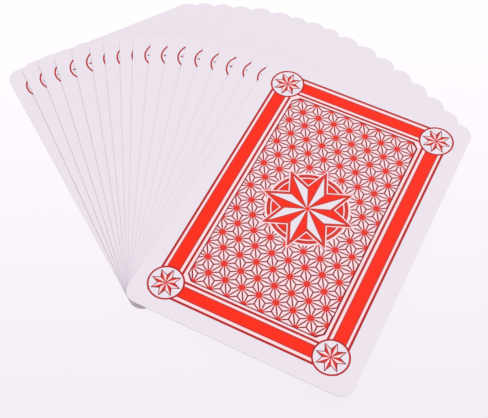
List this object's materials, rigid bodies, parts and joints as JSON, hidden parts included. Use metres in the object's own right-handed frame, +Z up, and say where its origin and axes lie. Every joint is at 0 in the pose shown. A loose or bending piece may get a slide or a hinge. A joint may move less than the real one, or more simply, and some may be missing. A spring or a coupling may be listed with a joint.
{
  "type": "playing card deck",
  "caption": "Jumbo playing cards spread as a fan, backs up with a red geometric print, each rounded card free to swing about the held corner to close or open the fan.",
  "frame": {"origin": "the point on the table about which the fan is opened, under the held corner of the lowest card", "axes": "+Z up from the table, +Y along the middle of the fan, +X to the right of someone facing the fan from its held corner"},
  "size_m": [0.1849, 0.1841, 0.0059],
  "materials": {
    "coated_card": "white card stock with a smooth satin coating, printed in red"
  },
  "bodies": {
    "card_01": {"card_01_two_of_hearts": "coated_card"},
    "card_02": {"card_02_three_of_hearts": "coated_card"},
    "card_03": {"card_03_four_of_hearts": "coated_card"},
    "card_04": {"card_04_five_of_hearts": "coated_card"},
    "card_05": {"card_05_six_of_hearts": "coated_card"},
    "card_06": {"card_06_seven_of_hearts": "coated_card"},
    "card_07": {"card_07_eight_of_hearts": "coated_card"},
    "card_08": {"card_08_nine_of_hearts": "coated_card"},
    "card_09": {"card_09_ten_of_hearts": "coated_card"},
    "card_10": {"card_10_three_of_spades": "coated_card"},
    "card_11": {"card_11_four_of_spades": "coated_card"},
    "card_12": {"card_12_five_of_spades": "coated_card"},
    "card_13": {"card_13_six_of_spades": "coated_card"},
    "card_14": {"card_14_seven_of_spades": "coated_card"},
    "card_15": {"card_15_eight_of_spades": "coated_card"},
    "card_16": {"card_16_nine_of_spades": "coated_card"},
    "card_17": {"card_17_ten_of_spades": "coated_card"}
  },
  "joints": [
    {"name": "card_02_swing", "type": "hinge", "parent": "card_01", "child": "card_02", "pos_m": [0, 0, 0], "axis": [0, 0, -1], "range_deg": [-3.3, 6.25]},
    {"name": "card_03_swing", "type": "hinge", "parent": "card_01", "child": "card_03", "pos_m": [0, 0, 0], "axis": [0, 0, -1], "range_deg": [-6.7, 12.5]},
    {"name": "card_04_swing", "type": "hinge", "parent": "card_01", "child": "card_04", "pos_m": [0, 0, 0], "axis": [0, 0, -1], "range_deg": [-10.1, 18.75]},
    {"name": "card_05_swing", "type": "hinge", "parent": "card_01", "child": "card_05", "pos_m": [0, 0, 0], "axis": [0, 0, -1], "range_deg": [-13.8, 25]},
    {"name": "card_06_swing", "type": "hinge", "parent": "card_01", "child": "card_06", "pos_m": [0, 0, 0], "axis": [0, 0, -1], "range_deg": [-17.5, 31.25]},
    {"name": "card_07_swing", "type": "hinge", "parent": "card_01", "child": "card_07", "pos_m": [0, 0, 0], "axis": [0, 0, -1], "range_deg": [-20.4, 37.5]},
    {"name": "card_08_swing", "type": "hinge", "parent": "card_01", "child": "card_08", "pos_m": [0, 0, 0], "axis": [0, 0, -1], "range_deg": [-23.6, 43.75]},
    {"name": "card_09_swing", "type": "hinge", "parent": "card_01", "child": "card_09", "pos_m": [0, 0, 0], "axis": [0, 0, -1], "range_deg": [-26.4, 50]},
    {"name": "card_10_swing", "type": "hinge", "parent": "card_01", "child": "card_10", "pos_m": [0, 0, 0], "axis": [0, 0, -1], "range_deg": [-30, 56.25]},
    {"name": "card_11_swing", "type": "hinge", "parent": "card_01", "child": "card_11", "pos_m": [0, 0, 0], "axis": [0, 0, -1], "range_deg": [-33.6, 62.5]},
    {"name": "card_12_swing", "type": "hinge", "parent": "card_01", "child": "card_12", "pos_m": [0, 0, 0], "axis": [0, 0, -1], "range_deg": [-37.4, 68.75]},
    {"name": "card_13_swing", "type": "hinge", "parent": "card_01", "child": "card_13", "pos_m": [0, 0, 0], "axis": [0, 0, -1], "range_deg": [-41.1, 75]},
    {"name": "card_14_swing", "type": "hinge", "parent": "card_01", "child": "card_14", "pos_m": [0, 0, 0], "axis": [0, 0, -1], "range_deg": [-44.7, 81.25]},
    {"name": "card_15_swing", "type": "hinge", "parent": "card_01", "child": "card_15", "pos_m": [0, 0, 0], "axis": [0, 0, -1], "range_deg": [-48.6, 87.5]},
    {"name": "card_16_swing", "type": "hinge", "parent": "card_01", "child": "card_16", "pos_m": [0, 0, 0], "axis": [0, 0, -1], "range_deg": [-52.1, 93.75]},
    {"name": "card_17_swing", "type": "hinge", "parent": "card_01", "child": "card_17", "pos_m": [0, 0, 0], "axis": [0, 0, -1], "range_deg": [-55.5, 100]}
  ]
}
